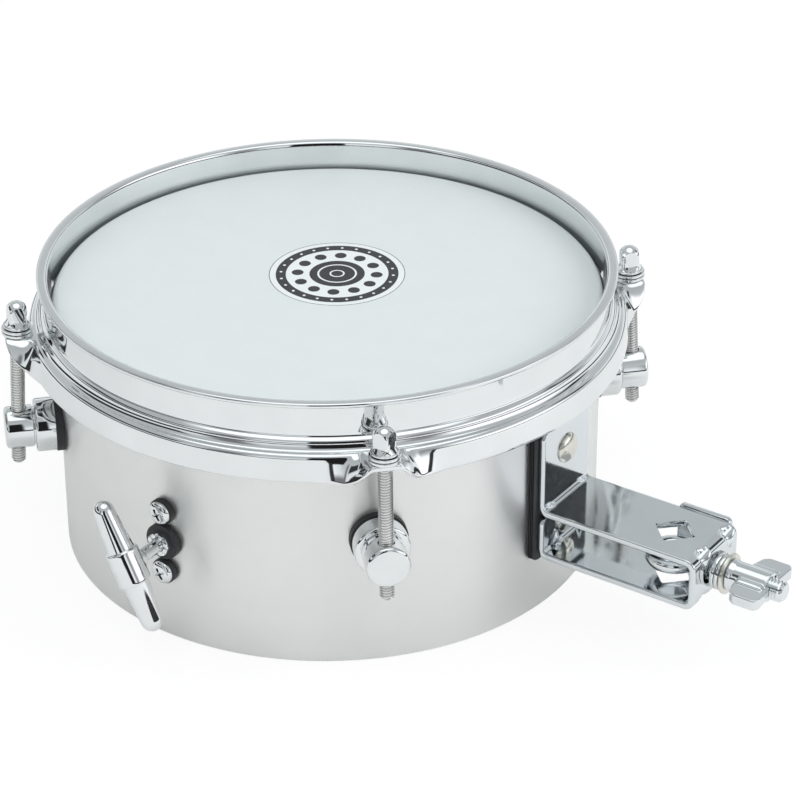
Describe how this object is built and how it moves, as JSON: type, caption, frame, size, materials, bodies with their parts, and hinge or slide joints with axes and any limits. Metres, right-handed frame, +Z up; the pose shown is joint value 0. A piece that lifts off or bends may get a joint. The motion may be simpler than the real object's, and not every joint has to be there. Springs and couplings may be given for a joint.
{
  "type": "timbale drum",
  "caption": "Small steel timbale: single head under a chromed counterhoop, post lugs, folded rod clamp bracket with wing nut, and a T-handle that lifts a fan of snare wires.",
  "frame": {"origin": "on the drum's axis, in the plane of the shell's bottom edge", "axes": "+Z up through the head, +X out along the mounting bracket, -Y out along the snare handle"},
  "size_m": [0.3024, 0.2367, 0.1078],
  "materials": {
    "shell_steel": "brushed round the drum, satin",
    "head_film": "smooth coated film, satin",
    "chrome": "polished chrome plate",
    "rod_steel": "nickel plated steel, threaded",
    "zinc": "bright zinc plate",
    "pale_zinc": "cream tinted zinc plate",
    "dark_steel": "phosphated spring steel",
    "hoop_aluminium": "drawn channel, satin",
    "black_rubber": "matt moulded rubber",
    "brass": "plain brass",
    "snare_wire": "coiled steel wire"
  },
  "bodies": {
    "drum": {"shell": "shell_steel", "drumhead_film": "head_film", "lug_front": "chrome", "lug_right": "chrome", "lug_rear": "chrome", "lug_left": "chrome", "lug_gasket_front": "black_rubber", "lug_gasket_right": "black_rubber", "lug_gasket_rear": "black_rubber", "lug_gasket_left": "black_rubber", "lug_screws": "zinc", "lug_screw_washers": "zinc", "bracket": "chrome", "bracket_gasket": "black_rubber", "bracket_bolts": "pale_zinc", "bracket_bolt_washers": "zinc", "bracket_bolt_nuts": "zinc", "clamp_spring": "zinc", "clamp_washer": "pale_zinc", "snare_base": "zinc", "snare_screws": "chrome", "snare_screw_washers": "black_rubber", "snare_screw_nuts": "zinc", "handle_bushing": "chrome", "handle_rubber_washer": "black_rubber", "handle_bushing_nut": "zinc", "lever_pin": "zinc", "lever_pin_clips": "dark_steel"},
    "hoop": {"counterhoop": "chrome", "flesh_hoop": "hoop_aluminium"},
    "rod_front": {"tension_rod_front": "rod_steel", "rod_washers_front": "rod_steel"},
    "rod_right": {"tension_rod_right": "rod_steel", "rod_washers_right": "rod_steel"},
    "rod_rear": {"tension_rod_rear": "rod_steel", "rod_washers_rear": "rod_steel"},
    "rod_left": {"tension_rod_left": "rod_steel", "rod_washers_left": "rod_steel"},
    "wing_nut": {"wing_nut": "chrome"},
    "eye_bolt": {"eye_bolt": "rod_steel"},
    "snare_push": {"handle_pad": "brass"},
    "t_handle": {"handle_bar": "chrome", "handle_screw": "rod_steel"},
    "snare_lever": {"snare_lever": "zinc", "snare_near_plate": "brass", "snare_far_plate": "brass", "snare_plate_screws": "zinc", "snare_wires": "snare_wire"}
  },
  "joints": [
    {"name": "hoop_travel", "type": "slide", "parent": "drum", "child": "hoop", "axis": [0, 0, 1], "range_m": [-0.0015, 0.003]},
    {"name": "rod_front_turn", "type": "hinge", "parent": "hoop", "child": "rod_front", "pos_m": [0.08054, -0.08054, 0.0898], "axis": [-0.037, 0.037, 0.9986], "range_deg": [-511, 1021]},
    {"name": "rod_right_turn", "type": "hinge", "parent": "hoop", "child": "rod_right", "pos_m": [0.08054, 0.08054, 0.0898], "axis": [-0.037, -0.037, 0.9986], "range_deg": [-511, 1021]},
    {"name": "rod_rear_turn", "type": "hinge", "parent": "hoop", "child": "rod_rear", "pos_m": [-0.08054, 0.08054, 0.0898], "axis": [0.037, -0.037, 0.9986], "range_deg": [-511, 1021]},
    {"name": "rod_left_turn", "type": "hinge", "parent": "hoop", "child": "rod_left", "pos_m": [-0.08054, -0.08054, 0.0898], "axis": [0.037, 0.037, 0.9986], "range_deg": [-511, 1021]},
    {"name": "wing_nut_turn", "type": "hinge", "parent": "drum", "child": "wing_nut", "pos_m": [0.179, 0, 0.034], "axis": [-1, 0, 0], "range_deg": [-1153, 951]},
    {"name": "eye_bolt_travel", "type": "slide", "parent": "drum", "child": "eye_bolt", "axis": [1, 0, 0], "range_m": [-0.004, 0.0033]},
    {"name": "handle_push_travel", "type": "slide", "parent": "drum", "child": "snare_push", "axis": [0, 1, 0], "range_m": [-0.00081, 0.00201]},
    {"name": "handle_turn", "type": "hinge", "parent": "snare_push", "child": "t_handle", "pos_m": [0, -0.1, 0.0404], "axis": [0, 1, 0], "range_deg": [-360, 900]},
    {"name": "snare_lever_swing", "type": "hinge", "parent": "drum", "child": "snare_lever", "pos_m": [0, -0.089, 0.0784], "axis": [1, 0, 0], "range_deg": [-1.25, 3.05]}
  ],
  "couplings": [
    {"joint": "rod_front_turn", "follows": "hoop_travel", "rad_per_m": 5937.1},
    {"joint": "rod_right_turn", "follows": "hoop_travel", "rad_per_m": 5937.1},
    {"joint": "rod_rear_turn", "follows": "hoop_travel", "rad_per_m": 5937.1},
    {"joint": "rod_left_turn", "follows": "hoop_travel", "rad_per_m": 5937.1},
    {"joint": "wing_nut_turn", "follows": "eye_bolt_travel", "rad_per_m": 5026.5},
    {"joint": "handle_push_travel", "follows": "handle_turn", "m_per_rad": 0.00012732},
    {"joint": "snare_lever_swing", "follows": "handle_turn", "ratio": 0.0033506}
  ]
}
